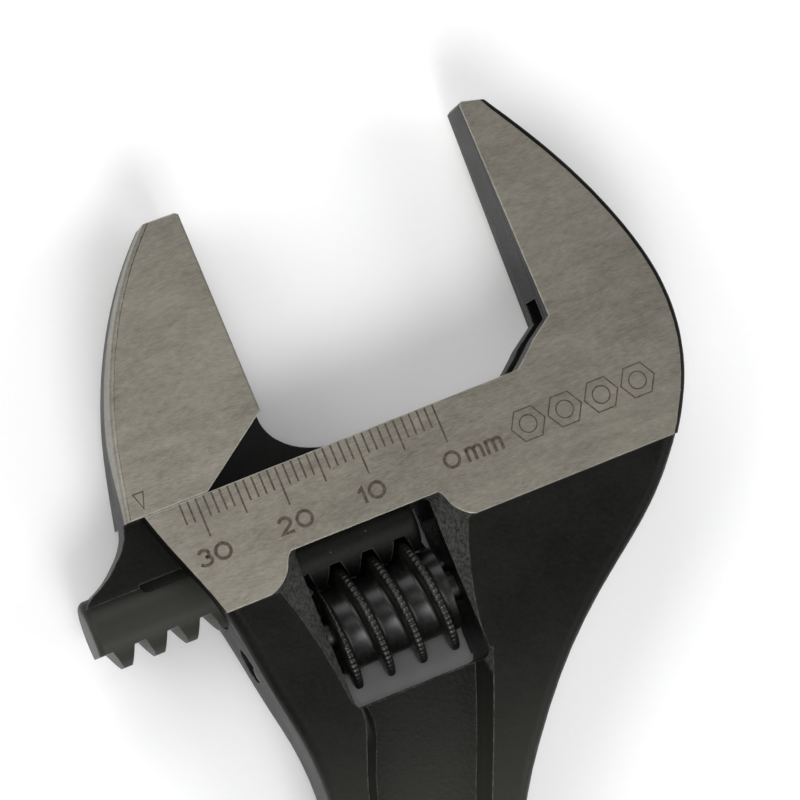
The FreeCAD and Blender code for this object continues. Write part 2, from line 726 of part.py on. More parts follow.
# ---------------------------------------------------------------------------
# The worm's pin: a screwed end with a driver slot, and a plain shank
# ---------------------------------------------------------------------------
pin = new_body("worm_pin")
pin_head = new_sketch(pin, "pin_head", "YZ_Plane", -size("pin_left"))
add_circle(pin_head, (0.0, 0.0), size("pin_head_radius"))
pad(pin, pin_head, size("pin_left") - size("pin_shoulder") - 0.05, midplane=False)
shank = new_sketch(pin, "pin_shank", "YZ_Plane", -size("pin_shoulder") - 1.0)
add_circle(shank, (0.0, 0.0), size("pin_radius"))
pad(pin, shank, size("pin_shoulder") + 1.0 - size("pin_right"), midplane=False)


def at_pin_end(edge):
    box = edge.BoundBox
    at_end = min(abs(box.XMin + mm("pin_left")), abs(box.XMin + mm("pin_right"))) < 0.01
    return isinstance(edge.Curve, Part.Circle) and at_end


PIN_ROUNDING = 0.3
round_edges(pin, "pin_ends", PIN_ROUNDING, at_pin_end)
driver = new_sketch(pin, "driver_slot", "XY_Plane")
add_polygon(driver, [
    (-size("pin_left") - 1.0, -size("driver_slot") * 0.5),
    (-size("pin_left") + size("driver_slot"), -size("driver_slot") * 0.5),
    (-size("pin_left") + size("driver_slot"), size("driver_slot") * 0.5),
    (-size("pin_left") - 1.0, size("driver_slot") * 0.5),
])
pocket(pin, driver, THROUGH)

# ---------------------------------------------------------------------------
# The worm's spring: a coil round the pin, between the worm's pocket and the wall
# ---------------------------------------------------------------------------
spring = new_body("worm_spring")
spring_gap = 0.05
spring_from = mm("worm_left") - mm("worm_length") + mm("spring_pocket") - spring_gap
spring_to = mm("window_right") + spring_gap
wire = new_sketch(spring, "spring_wire", "XY_Plane")
add_circle(wire, (-spring_from + mm("wire_radius"), size("spring_radius")), size("wire_radius"))
coil = spring.newObject("PartDesign::AdditiveHelix", "spring_coil")
coil.Profile = wire
coil.ReferenceAxis = (origin_part(spring, "X_Axis"), [""])
coil.Mode = 2
bind(coil, "Turns", size("spring_turns"))
bind(coil, "Height", spring_from - spring_to - 2 * mm("wire_radius"))
wire.Visibility = False
doc.recompute()

# ---------------------------------------------------------------------------
# Placement in the part's frame, checks and export
# ---------------------------------------------------------------------------
turn = FreeCAD.Rotation(FreeCAD.Vector(0, 0, 1), mm("head_angle"))
head_origin = FreeCAD.Vector(mm("head_offset"), mm("head_distance"), 0)
head_frame = FreeCAD.Placement(head_origin, turn)


def place(body, x=0.0, y=0.0):
    """Put a piece, drawn at (x, y) in the head frame, into the part's frame."""
    body.Placement = head_frame.multiply(FreeCAD.Placement(FreeCAD.Vector(x, y, 0), FreeCAD.Rotation()))


place(forging)
place(jaw)
place(worm, -mm("worm_left"), -mm("worm_depth"))
place(pin, 0.0, -mm("worm_depth"))
place(spring, 0.0, -mm("worm_depth"))
doc.recompute()

for item in doc.Objects:
    if "Invalid" in item.State or "Error" in item.State:
        raise RuntimeError("%s failed: %s" % (item.Name, item.State))

os.makedirs("parts", exist_ok=True)
for body in (forging, jaw, worm, pin, spring):
    shape = body.Shape
    if shape.isNull() or not shape.isValid() or len(shape.Solids) != 1:
        raise RuntimeError("%s is not one valid solid" % body.Label)
    shape.exportStep("parts/%s.step" % body.Label)
    box = shape.BoundBox
    print("%-14s %8.0f mm3  %6.1f %6.1f %5.1f" % (
        body.Label, shape.Volume, box.XLength, box.YLength, box.ZLength))
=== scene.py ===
# %% [markdown]
# # An adjustable wrench, finished in Blender
# A black forged body with a bright ground head, a sliding jaw, and a worm that drives it.
# The shapes come packed from the CAD model as a fixed frame, so this lesson is mostly about
# finishes: what each surface is on the real tool, and how nodes can describe it. Only the
# worm, whose knurling is too fine for the CAD model, and the etched scale are built as meshes.

import json
import math

import bpy
import bmesh
from mathutils import Matrix, Vector


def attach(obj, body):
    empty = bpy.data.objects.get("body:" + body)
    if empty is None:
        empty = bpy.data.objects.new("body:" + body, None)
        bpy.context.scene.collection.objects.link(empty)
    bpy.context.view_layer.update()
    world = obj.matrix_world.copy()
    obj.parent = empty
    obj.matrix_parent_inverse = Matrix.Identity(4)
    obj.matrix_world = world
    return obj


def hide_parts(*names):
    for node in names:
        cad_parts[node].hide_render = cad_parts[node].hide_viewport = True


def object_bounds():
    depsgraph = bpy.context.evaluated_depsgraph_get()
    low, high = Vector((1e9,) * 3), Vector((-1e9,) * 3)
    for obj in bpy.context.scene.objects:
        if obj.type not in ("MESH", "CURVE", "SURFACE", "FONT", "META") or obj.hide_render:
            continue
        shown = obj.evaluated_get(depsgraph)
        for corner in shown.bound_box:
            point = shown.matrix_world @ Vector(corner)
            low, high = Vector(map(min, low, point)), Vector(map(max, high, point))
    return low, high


MM = 0.001
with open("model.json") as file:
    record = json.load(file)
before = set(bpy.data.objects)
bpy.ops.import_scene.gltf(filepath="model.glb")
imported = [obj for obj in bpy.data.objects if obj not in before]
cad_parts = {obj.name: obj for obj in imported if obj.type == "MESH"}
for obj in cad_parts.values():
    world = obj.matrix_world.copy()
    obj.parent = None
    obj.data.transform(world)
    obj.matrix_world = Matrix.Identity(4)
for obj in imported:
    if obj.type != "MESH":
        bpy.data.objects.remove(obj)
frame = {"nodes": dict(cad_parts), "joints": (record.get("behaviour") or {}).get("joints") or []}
nodes = frame["nodes"]
cad_low, cad_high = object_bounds()
print("CAD box in mm:", [round(v / MM, 1) for v in (*cad_low, *cad_high)])

# %% [markdown]
# ## Two sets of directions
# The wrench lies flat with its handle along Y, but the head is turned on the handle, as on
# every such wrench, so that it can be flipped over between strokes. Everything on the head
# is easier to place along the way the jaw slides. The joints of the frame give that
# direction and a point on the worm's axis, so nothing has to be measured again. In the head
# directions, u runs along the slide, t towards the jaw tips and w out of the scale's face.

# %% The head's own directions
joints = {joint["name"]: joint for joint in frame["joints"]}
SLIDE = Vector(joints["jaw_slide"]["axis"]).normalized()
LIFT = Vector((0, 0, 1))
REACH = LIFT.cross(SLIDE)
WORM_U, WORM_T = -30.0, -20.55
HEAD_ORIGIN = Vector(joints["worm_spin"]["pos_m"]) - MM * (WORM_U * SLIDE + WORM_T * REACH)
HEAD_TURN = math.atan2(SLIDE.y, SLIDE.x)


def head(u, t, w):
    """A point given in head directions in mm, as a place in the frame in metres."""
    return HEAD_ORIGIN + MM * (u * SLIDE + t * REACH + w * LIFT)


print("head origin in mm:", [round(v / MM, 2) for v in HEAD_ORIGIN],
      "turned", round(math.degrees(HEAD_TURN), 2), "degrees")

# %% [markdown]
# ## The camera
# A long lens from above the head, leaning a little so that the inner faces of the jaws
# show. A long lens keeps the two jaws the same size. The camera is described by where it
# stands, where it looks and which way is up, and its matrix is made from those three.

# %% Camera
CAMERA_PLACE = Vector((-99.27, 145.2, 609.9)) * MM
CAMERA_LOOK = Vector((0.1541, 0.0989, -0.9831)).normalized()
CAMERA_UP = Vector((-0.0207, 0.9951, 0.0968))
CAMERA_LENS = 236.4
SENSOR = 36.0


def looking(place, look, up):
    """The matrix of a camera or lamp that stands at place and looks along look."""
    side = look.cross(up).normalized()
    turn = Matrix((side, side.cross(look), -look)).transposed().to_4x4()
    return Matrix.Translation(place) @ turn


camera = bpy.data.objects.new("camera", bpy.data.cameras.new("camera"))
camera.data.lens = CAMERA_LENS
camera.data.sensor_width = SENSOR
camera.data.clip_start = 0.01
camera.matrix_world = looking(CAMERA_PLACE, CAMERA_LOOK, CAMERA_UP)
scene = bpy.context.scene
scene.collection.objects.link(camera)
scene.camera = camera
scene.view_settings.view_transform = "Standard"
print("camera stands", round(CAMERA_PLACE.length / MM), "mm away")

# %% [markdown]
# ## Plain soft light
# A catalogue studio would put a wide soft box over the tool and let the room fill the rest.
# Metal shows what it mirrors, so each lamp is placed by which face mirrors it. The soft box
# hangs over the handle: black coat low on the neck catches its sheen, and the coat by the
# head stays dark. A dim glow hangs where the bright band mirrors it, and a weak fill to the
# left lifts the sliding jaw over the fixed one. A small lamp close to the camera lights the
# worm's window. Four big panels stand all round at half height and light the paper floor
# evenly. A lamp is described by how bright its face is; its power follows from that and
# its area.

# %% Soft lights
LIGHTS = {
    "soft_box": dict(place=(100, -190, 540), aim=(0, 120, 0), size=300, brightness=6.5),
    "left_fill": dict(place=(-330, 380, 480), aim=(0, 190, 0), size=260, brightness=1.2),
    "head_glow": dict(place=(20, 300, 575), aim=(0, 205, 0), size=200, brightness=1.3),
    "front_glow": dict(place=(-100, 145, 640), aim=(0, 205, 0), size=110, brightness=9.0),
    "panel_left": dict(place=(-620, 180, 420), aim=(0, 180, 0), size=600, brightness=2.1),
    "panel_right": dict(place=(620, 180, 420), aim=(0, 180, 0), size=600, brightness=2.5),
    "panel_back": dict(place=(-260, 820, 420), aim=(0, 180, 0), size=600, brightness=2.3),
    "panel_front": dict(place=(0, -440, 420), aim=(0, 180, 0), size=600, brightness=2.2),
}
for name, light in LIGHTS.items():
    lamp = bpy.data.objects.new(name, bpy.data.lights.new(name, "AREA"))
    lamp.data.shape = "DISK"
    lamp.data.size = light["size"] * MM
    face = math.pi * (lamp.data.size / 2) ** 2
    lamp.data.energy = light["brightness"] * face * math.pi
    place, aim = Vector(light["place"]) * MM, Vector(light["aim"]) * MM
    lamp.matrix_world = looking(place, (aim - place).normalized(), Vector((0, 0, 1)))
    scene.collection.objects.link(lamp)

ROOM = (0.985, 1.0, 1.0, 1)
ROOM_BRIGHTNESS = 0.16
room = bpy.data.worlds.new("room")
room.use_nodes = True
room.node_tree.nodes["Background"].inputs["Color"].default_value = ROOM
room.node_tree.nodes["Background"].inputs["Strength"].default_value = ROOM_BRIGHTNESS
scene.world = room
print(len(LIGHTS), "lamps and a plain room")

# %% [markdown]
# ## Small helpers for nodes
# A material is a graph of nodes. Adding one takes a line for the node and one for each
# wire, so a helper does both: a value that is itself a socket becomes a wire, and any other
# value is set on the socket. The lesson then reads like the finish that it describes.

# %% Node helpers


def add(tree, kind, inputs=None, **settings):
    """Adds one shader node, with its settings, values and incoming wires."""
    node = tree.nodes.new("ShaderNode" + kind)
    for key, value in settings.items():
        setattr(node, key, value)
    for key, value in (inputs or {}).items():
        if isinstance(value, bpy.types.NodeSocket):
            tree.links.new(value, node.inputs[key])
        else:
            node.inputs[key].default_value = value
    return node


def maths(tree, operation, a, b=0.0, clamp=False):
    """One step of arithmetic on two values."""
    return add(tree, "Math", {0: a, 1: b}, operation=operation, use_clamp=clamp).outputs[0]


def fade(tree, value, start, end, low=0.0, high=1.0):
    """Goes smoothly from low to high while value goes from start to end."""
    inputs = {"Value": value, "From Min": start, "From Max": end, "To Min": low, "To Max": high}
    return add(tree, "MapRange", inputs, interpolation_type="SMOOTHSTEP").outputs["Result"]


def between(tree, factor, low, high):
    """A straight mix of two numbers."""
    return add(tree, "MapRange", {"Value": factor, "To Min": low, "To Max": high}).outputs["Result"]


def mixed(tree, factor, first, second):
    """A mix of two colours."""
    inputs = {"Factor": factor, 6: first, 7: second}
    return add(tree, "Mix", inputs, data_type="RGBA").outputs[2]


def noise(tree, place, scale, detail=2.0, roughness=0.5):
    """Soft random patches; scale is how many there are in a unit of place."""
    inputs = {"Vector": place, "Scale": scale, "Detail": detail, "Roughness": roughness}
    return add(tree, "TexNoise", inputs).outputs["Fac"]


def stretched(tree, place, factors):
    """Place scaled along each direction, which draws a pattern out into streaks."""
    return add(tree, "VectorMath", {0: place, 1: factors}, operation="MULTIPLY").outputs[0]


def new_group(name, inputs, outputs):
    """An empty node group with named sockets. Inputs carry their default value."""
    tree = bpy.data.node_groups.new(name, "ShaderNodeTree")
    for label, kind, value in inputs:
        socket = tree.interface.new_socket(label, in_out="INPUT", socket_type=kind)
        if value is not None:
            socket.default_value = value
    for label, kind in outputs:
        tree.interface.new_socket(label, in_out="OUTPUT", socket_type=kind)
    return tree, tree.nodes.new("NodeGroupInput").outputs, tree.nodes.new("NodeGroupOutput")


def use_group(tree, group, **values):
    """Places a group in a material and gives back its outputs."""
    node = tree.nodes.new("ShaderNodeGroup")
    node.node_tree = group
    for key, value in values.items():
        socket = node.inputs[key.replace("_", " ")]
        if isinstance(value, bpy.types.NodeSocket):
            tree.links.new(value, socket)
        else:
            socket.default_value = value
    return node.outputs


FLOAT, VECTOR = "NodeSocketFloat", "NodeSocketVector"
print("node helpers ready")

# %% [markdown]
# ## Group: place on the head
# The finishes follow the head: grinding lines run along the slide, and the ground band ends
# at a straight line across it. So every material starts from the same place vector, in
# millimetres and in head directions. Object coordinates are used because they stay with a
# piece when it moves, while world coordinates would let the pattern swim. A second group
# turns the surface's own direction the same way, so that a mask can ask which way it faces.

# %% Place on the head
head_place, _, end = new_group("Place on the head", [], [("Place", VECTOR)])
own = add(head_place, "TexCoord").outputs["Object"]
moved = add(head_place, "VectorMath", {0: own, 1: HEAD_ORIGIN}, operation="SUBTRACT").outputs[0]
turned = add(head_place, "VectorRotate", {"Vector": moved, "Angle": -HEAD_TURN},
             rotation_type="Z_AXIS").outputs[0]
scaled = stretched(head_place, turned, (1 / MM, 1 / MM, 1 / MM))
head_place.links.new(scaled, end.inputs["Place"])

head_facing, _, end = new_group("Facing on the head", [], [("Facing", VECTOR)])
outward = add(head_facing, "TexCoord").outputs["Normal"]
turned = add(head_facing, "VectorRotate", {"Vector": outward, "Angle": -HEAD_TURN},
             rotation_type="Z_AXIS").outputs[0]
head_facing.links.new(turned, end.inputs["Facing"])
print("groups:", head_place.name, "and", head_facing.name)

# %% [markdown]
# ## Group: edge wear and painted highlight
# On a used or tumbled tool the outer edges shine first. One could paint the edges, or use
# how pointed the mesh is at each vertex, but that depends on how finely it is divided. The
# Bevel node instead compares the true surface direction with a softened one, so it finds
# edges on any mesh. A second test keeps inner corners out: there, nearby surfaces stand in
# the open side. Noise breaks the line up, because real wear is never even. Where the mask is
# used, it lays on a bare-steel colour set brighter than wear alone, so it is also a painted
# highlight. The softened direction is handed on too: with it, a sharp CAD edge catches the
# light like a broken one.

# %% Edge wear
edge_wear_and_highlight, given, end = new_group(
    "Edge wear and highlight",
    [("Place", VECTOR, None), ("Width", FLOAT, 0.0004), ("Amount", FLOAT, 1.0)],
    [("Mask", FLOAT), ("Rounded", VECTOR)],
)
soft = add(edge_wear_and_highlight, "Bevel", {"Radius": given["Width"]}, samples=6).outputs["Normal"]
true = add(edge_wear_and_highlight, "NewGeometry").outputs["True Normal"]
same = add(edge_wear_and_highlight, "VectorMath", {0: soft, 1: true}, operation="DOT_PRODUCT").outputs["Value"]
on_edge = fade(edge_wear_and_highlight, same, 0.985, 0.80)
open_air = add(edge_wear_and_highlight, "AmbientOcclusion", {"Distance": 0.0012}, samples=6,
               only_local=True).outputs["AO"]
outside = fade(edge_wear_and_highlight, open_air, 0.55, 0.85)
patches = fade(edge_wear_and_highlight, noise(edge_wear_and_highlight, given["Place"], 0.9, 4.0, 0.7), 0.32, 0.62)
mask = maths(edge_wear_and_highlight, "MULTIPLY", maths(edge_wear_and_highlight, "MULTIPLY", on_edge, outside), patches)
mask = maths(edge_wear_and_highlight, "MULTIPLY", mask, given["Amount"], clamp=True)
edge_wear_and_highlight.links.new(mask, end.inputs["Mask"])
edge_wear_and_highlight.links.new(soft, end.inputs["Rounded"])
print("group:", edge_wear_and_highlight.name)

# %% [markdown]
# ## Group: grinding grain
# The head faces are ground on a belt or a wheel along the slide. That leaves very fine
# streaks, a broader cloudiness where the wheel dwelt, and faint cross ripples from its
# chatter. Each is a noise drawn out along the slide by squeezing that direction.

# %% Grinding grain
grain, given, end = new_group(
    "Grinding grain", [("Place", VECTOR, None)], [("Shade", FLOAT), ("Height", FLOAT)]
)
sway = noise(grain, given["Place"], 0.06, 2.0)
aside = add(grain, "CombineXYZ", {"Y": maths(grain, "MULTIPLY", sway, 3.0)}).outputs[0]
swayed = add(grain, "VectorMath", {0: given["Place"], 1: aside}, operation="ADD").outputs[0]
fine = noise(grain, stretched(grain, swayed, (1.1, 8.0, 0.5)), 1.0, 5.0, 0.78)
broad = noise(grain, stretched(grain, swayed, (0.14, 0.55, 0.10)), 1.0, 4.0, 0.65)
cloud = noise(grain, given["Place"], 0.045, 3.0, 0.6)
ripple = noise(grain, stretched(grain, swayed, (0.9, 1.6, 0.5)), 1.0, 3.0, 0.6)
shade = maths(grain, "ADD", maths(grain, "MULTIPLY", fine, 0.40),
              maths(grain, "MULTIPLY", broad, 0.22))
shade = maths(grain, "ADD", shade, maths(grain, "MULTIPLY", cloud, 0.22))
shade = maths(grain, "ADD", shade, maths(grain, "MULTIPLY", ripple, 0.16))
grain.links.new(fade(grain, shade, 0.28, 0.72), end.inputs["Shade"])
grain.links.new(maths(grain, "ADD", maths(grain, "MULTIPLY", fine, 0.7),
                      maths(grain, "MULTIPLY", ripple, 0.5)), end.inputs["Height"])
print("group:", grain.name)

# %% [markdown]
# ## Group: forged skin
# A forging keeps the skin of its die: low swells, a fine sandy tooth from scale and
# blasting, and a few pale specks where a grain caught. The phosphate coat on it is a very
# dark, slightly green grey, cloudy where the oil soaked in unevenly.

# %% Forged skin
skin, given, end = new_group(
    "Forged skin",
    [("Place", VECTOR, None), ("Tooth", FLOAT, 1.0)],
    [("Shade", FLOAT), ("Height", FLOAT), ("Specks", FLOAT)],
)
swell = noise(skin, given["Place"], 0.16, 3.0, 0.55)
sand = noise(skin, given["Place"], 1.9, 4.0, 0.65)
grit = noise(skin, given["Place"], 6.5, 2.0, 0.5)
dots = add(skin, "TexVoronoi", {"Vector": given["Place"], "Scale": 0.55}).outputs["Distance"]
shade = maths(skin, "MULTIPLY", maths(skin, "ADD", swell, sand), 0.5)
skin.links.new(fade(skin, shade, 0.3, 0.7), end.inputs["Shade"])
height = maths(skin, "ADD", maths(skin, "MULTIPLY", sand, 0.65),
               maths(skin, "MULTIPLY", grit, 0.2))
height = maths(skin, "MULTIPLY", height, given["Tooth"])
skin.links.new(maths(skin, "ADD", height, maths(skin, "MULTIPLY", swell, 0.8)),
               end.inputs["Height"])
few = fade(skin, noise(skin, given["Place"], 0.13, 1.0), 0.56, 0.70)
speck = maths(skin, "MULTIPLY", fade(skin, dots, 0.07, 0.03, 0.0, 0.35), few)
skin.links.new(speck, end.inputs["Specks"])
print("group:", skin.name)

# %% [markdown]
# ## Where the head is ground
# Only the flat faces of the head are ground, after the whole forging was blackened. They
# taper towards the jaw tips, so their height is a straight line in t. A point belongs to
# them when it looks straight out and lies on that plane. On the real tool the line between
# bright and black is exactly that: where the wheel stopped reaching.

# %% The ground faces as a mask
FACE_LIFT = 7.05
FACE_TAPER = 0.0907
BAND_END = -13.84
FACE_SLACK = 0.06


def face_height(t):
    """How far the ground face stands out from the middle plane, in mm."""
    return FACE_LIFT - FACE_TAPER * t


ground_mask, given, end = new_group(
    "Ground faces", [("Place", VECTOR, None)], [("Mask", FLOAT)]
)
place = add(ground_mask, "SeparateXYZ", {0: given["Place"]}).outputs
lift = maths(ground_mask, "ABSOLUTE", place["Z"])
drop = maths(ground_mask, "MULTIPLY", place["Y"], FACE_TAPER)
plane = maths(ground_mask, "SUBTRACT", FACE_LIFT, drop)
near = fade(ground_mask, maths(ground_mask, "SUBTRACT", plane, lift), FACE_SLACK * 2, FACE_SLACK)
outward = add(ground_mask, "TexCoord").outputs["Normal"]
facing = maths(ground_mask, "ABSOLUTE", add(ground_mask, "SeparateXYZ", {0: outward}).outputs["Z"])
flat = fade(ground_mask, facing, 0.965, 0.985)
above = fade(ground_mask, place["Y"], BAND_END - 0.12, BAND_END - 0.02)
mask = maths(ground_mask, "MULTIPLY", maths(ground_mask, "MULTIPLY", near, flat), above)
ground_mask.links.new(mask, end.inputs["Mask"])
print("group:", ground_mask.name)

# %% [markdown]
# ## Two local marks on the head
# The window's flared sides were sheared when the hole was punched, so they are rough and
# a little paler. And the sliding jaw's back was dressed on a wheel: bright from the scale's
# face down to a line that climbs towards the jaw's foot, black below it. Both are found by
# where a point lies and which way the surface faces, with soft limits, so no vertex has to
# be painted. All places are in mm and in head directions.

# %% Torn flares and dressed back
FLARES = ((-44.3, -37.6), (-22.0, -15.8))     # where the two flares lie along the slide
FLARE_TOP, FLARE_FOOT = -9.0, -34.5
DRESSED_FROM, DRESSED_TO = -1.0, 11.0         # the line climbs over this stretch of the back
DRESSED_LOW, DRESSED_HIGH = -1.2, 4.6
JAW_FACE = -37.5
DRESSED = 0.72                                # how far the dressing cleared the coat


def torn_flares(tree, place):
    """The rough sheared bands on the flared sides of the worm's window."""
    xyz = add(tree, "SeparateXYZ", {0: place}).outputs
    normal = add(tree, "SeparateXYZ", {0: add(tree, "TexCoord").outputs["Normal"]}).outputs["Z"]
    tilt = maths(tree, "ABSOLUTE", normal)
    sloping = maths(tree, "MULTIPLY", fade(tree, tilt, 0.12, 0.2), fade(tree, tilt, 0.95, 0.9))
    sides = None
    for start, stop in FLARES:
        side = maths(tree, "MULTIPLY", fade(tree, xyz["X"], start - 0.2, start + 0.2),
                     fade(tree, xyz["X"], stop + 0.2, stop - 0.2))
        sides = side if sides is None else maths(tree, "ADD", sides, side)
    low = maths(tree, "MULTIPLY", fade(tree, xyz["Y"], FLARE_TOP, FLARE_TOP - 0.6),
                fade(tree, xyz["Y"], FLARE_FOOT, FLARE_FOOT + 4.0))
    return maths(tree, "MULTIPLY", maths(tree, "MULTIPLY", sloping, sides), low, clamp=True)


def dressed_back(tree, place):
    """The jaw's back, dressed bright above a line that climbs towards the jaw's foot."""
    xyz = add(tree, "SeparateXYZ", {0: place}).outputs
    normal = add(tree, "SeparateXYZ", {0: use_group(tree, head_facing)["Facing"]}).outputs
    outward = fade(tree, normal["X"], -0.10, -0.25)
    limit = fade(tree, xyz["Y"], DRESSED_FROM, DRESSED_TO, DRESSED_HIGH, DRESSED_LOW)
    above = fade(tree, maths(tree, "SUBTRACT", xyz["Z"], limit), 0.0, 0.25)
    on_jaw = maths(tree, "MULTIPLY", fade(tree, xyz["Y"], -0.6, -0.1),
                   fade(tree, xyz["X"], JAW_FACE, JAW_FACE - 1.0))
    cleared = maths(tree, "MULTIPLY", maths(tree, "MULTIPLY", outward, above), on_jaw)
    return maths(tree, "MULTIPLY", cleared, DRESSED)


print("local marks: flares at", FLARES, "and the jaw's back")

# %% [markdown]
# ## The wrench's two-tone steel
# The body and the jaw share one finish recipe: black phosphate everywhere, bright steel on
# the ground faces, and bare metal along the edges, which is real wear and also a painted
# highlight. The coat is painted lighter grey with distance from the head, and on the jaw only
# out on the bare end of the rack: a painted sheen. It could be two materials and a painted
# seam. One material with a mask needs no seam and follows the shape. The metallic value is 1
# on bare steel and 0 on the coat, and the mask moves both.

# %% Two-tone steel
BRIGHT_DARK = (0.138, 0.128, 0.106, 1)
BRIGHT_LIGHT = (0.415, 0.386, 0.326, 1)
# worn edges of the ground faces: real wear, and a painted highlight along them
BRIGHT_WEAR_AND_HIGHLIGHT = (0.45, 0.44, 0.42, 1)
COAT_DARK = (0.0016, 0.0017, 0.0014, 1)
COAT_LIGHT = (0.0060, 0.0062, 0.0050, 1)
# painted sheen: the lighter grey the coat is painted towards the handle
PAINTED_SHEEN_COAT = (0.0300, 0.0295, 0.0255, 1)
# bare steel for specks and worn edges; on the edges it is bright enough to be a painted highlight
# too
BARE_STEEL_AND_HIGHLIGHT = (0.20, 0.20, 0.185, 1)
TORN_STEEL = (0.085, 0.088, 0.080, 1)
COAT_ROUGH = (0.34, 0.44)
STEEL_ROUGH = (0.46, 0.36)
COAT_GLOSS = 0.12             # a dry coat mirrors little
RELIEF = 0.0001               # depth of the bump, in metres
SUNK_PANEL = (4.6, 3.6)       # below this height the forging is rougher, in its sunk panels
RACK_END = (-40.0, -46.0)     # along the slide, where the rack leaves the head


def two_tone_steel(name, tooth, sheen_span, is_body):
    """Black coated steel with ground faces. tooth is how sandy the coat is, and the third
    argument gives two places in t, between which the coat is painted lighter grey: a painted sheen."""
    material = bpy.data.materials.new(name)
    material.use_nodes = True
    tree = material.node_tree
    shader = tree.nodes["Principled BSDF"]
    place = use_group(tree, head_place)["Place"]
    xyz = add(tree, "SeparateXYZ", {0: place}).outputs
    bright = use_group(tree, ground_mask, Place=place)["Mask"]
    if not is_body:
        bright = maths(tree, "MAXIMUM", bright, dressed_back(tree, place))
    streaks = use_group(tree, grain, Place=place)
    # Amount 0.85 makes the edges bright enough to be a painted highlight as well as wear.
    edges = use_group(tree, edge_wear_and_highlight, Place=place, Width=0.0003, Amount=0.85)
    wear_and_highlight = edges["Mask"]
    sunk = fade(tree, maths(tree, "ABSOLUTE", xyz["Z"]), SUNK_PANEL[0], SUNK_PANEL[1])
    coat = use_group(tree, skin, Place=place, Tooth=between(tree, sunk, tooth, 3.0 * tooth))

    # Painted sheen: the coat is painted lighter grey with distance from the head, and on the jaw
    # only out on the rack's bare end.
    painted_sheen = fade(tree, xyz["Y"], sheen_span[0], sheen_span[1])
    if not is_body:
        painted_sheen = maths(tree, "MULTIPLY", painted_sheen, fade(tree, xyz["X"], RACK_END[0], RACK_END[1]))
    coat_colour = mixed(tree, coat["Shade"], COAT_DARK, COAT_LIGHT)
    coat_colour = mixed(tree, painted_sheen, coat_colour, PAINTED_SHEEN_COAT)
    coat_colour = mixed(tree, coat["Specks"], coat_colour, BARE_STEEL_AND_HIGHLIGHT)
    # Edges take bare steel: real wear, and a painted highlight along them.
    coat_colour = mixed(tree, wear_and_highlight, coat_colour, BARE_STEEL_AND_HIGHLIGHT)
    coat_metal = maths(tree, "MULTIPLY", wear_and_highlight, 0.6)
    coat_rough = between(tree, coat["Shade"], COAT_ROUGH[0], COAT_ROUGH[1])
    coat_height = coat["Height"]
    if is_body:
        tear = torn_flares(tree, place)
        fibres = noise(tree, stretched(tree, place, (3.4, 2.0, 3.4)), 1.0, 5.0, 0.8)
        torn = maths(tree, "MULTIPLY", tear, fade(tree, fibres, 0.30, 0.66))
        coat_colour = mixed(tree, torn, coat_colour, TORN_STEEL)
        raised = maths(tree, "MULTIPLY", maths(tree, "MULTIPLY", fibres, tear), 5.0)
        coat_height = maths(tree, "ADD", coat_height, raised)
        coat_rough = maths(tree, "ADD", coat_rough, maths(tree, "MULTIPLY", torn, 0.12))
    steel_colour = mixed(tree, streaks["Shade"], BRIGHT_DARK, BRIGHT_LIGHT)
    steel_colour = mixed(tree, wear_and_highlight, steel_colour, BRIGHT_WEAR_AND_HIGHLIGHT)
    steel_rough = between(tree, streaks["Shade"], STEEL_ROUGH[0], STEEL_ROUGH[1])
    steel_height = maths(tree, "MULTIPLY", streaks["Height"], 0.10)

    colour = mixed(tree, bright, coat_colour, steel_colour)
    metal = maths(tree, "MAXIMUM", bright, coat_metal)
    rough = add(tree, "Mix", {0: bright, 2: coat_rough, 3: steel_rough}).outputs[0]
    height = add(tree, "Mix", {0: bright, 2: coat_height, 3: steel_height}).outputs[0]
    bump = add(tree, "Bump", {"Height": height, "Strength": 0.8, "Distance": RELIEF,
                              "Normal": edges["Rounded"]})
    tree.links.new(colour, shader.inputs["Base Color"])
    tree.links.new(metal, shader.inputs["Metallic"])
    tree.links.new(rough, shader.inputs["Roughness"])
    tree.links.new(bump.outputs["Normal"], shader.inputs["Normal"])
    shader.inputs["Specular IOR Level"].default_value = COAT_GLOSS
    return material


# The two places in t give where the painted sheen on the coat begins and where it is full.
forging_steel = two_tone_steel("phosphated_forging", 1.0, (-24.0, -52.0), is_body=True)
jaw_steel = two_tone_steel("ground_jaw", 0.35, (-6.6, -9.0), is_body=False)
for node, steel in (("forged_body", forging_steel), ("sliding_jaw", jaw_steel)):
    for slot in nodes[node].material_slots:
        slot.material = steel
print("two-tone steel on", forging_steel.name, "and", jaw_steel.name)

# %% [markdown]
# ## The worm
# The worm is a short screw whose crests are knurled so that a thumb can turn it. Its thread
# could be a helix with a swept profile, but then the ends have to be cut. Here it is a net
# of points: for every angle, a column of points follows the thread's profile along the
# axis, shifted by the lead. Points beyond an end are pulled back onto it, where they meet
# and are merged, so the thread runs out as if turned in a lathe. Small axial grooves are
# pressed into the crests only. After a full turn the thread has moved on by one crest, so
# the last column joins the first one crest further. The net closes through the bore, so it
# is a true solid.

# %% Worm profile
WORM_START = -37.35
WORM_LENGTH = 14.7
PITCH = 4.1
FIRST_CREST = 3.2
BORE_RADIUS = 2.06
SPRING_BORE, SPRING_BORE_DEPTH = 3.5, 4.9
KNURLS = 58
KNURL_DEPTH = 0.13
STEPS = KNURLS * 6
PROFILE = [
    (0.00, 7.28), (0.22, 7.26), (0.36, 7.18), (0.46, 7.02), (0.54, 6.72), (0.62, 6.1),
    (0.69, 5.55), (0.78, 5.22), (0.95, 5.08), (1.25, 5.03), (PITCH / 2, 5.03),
]


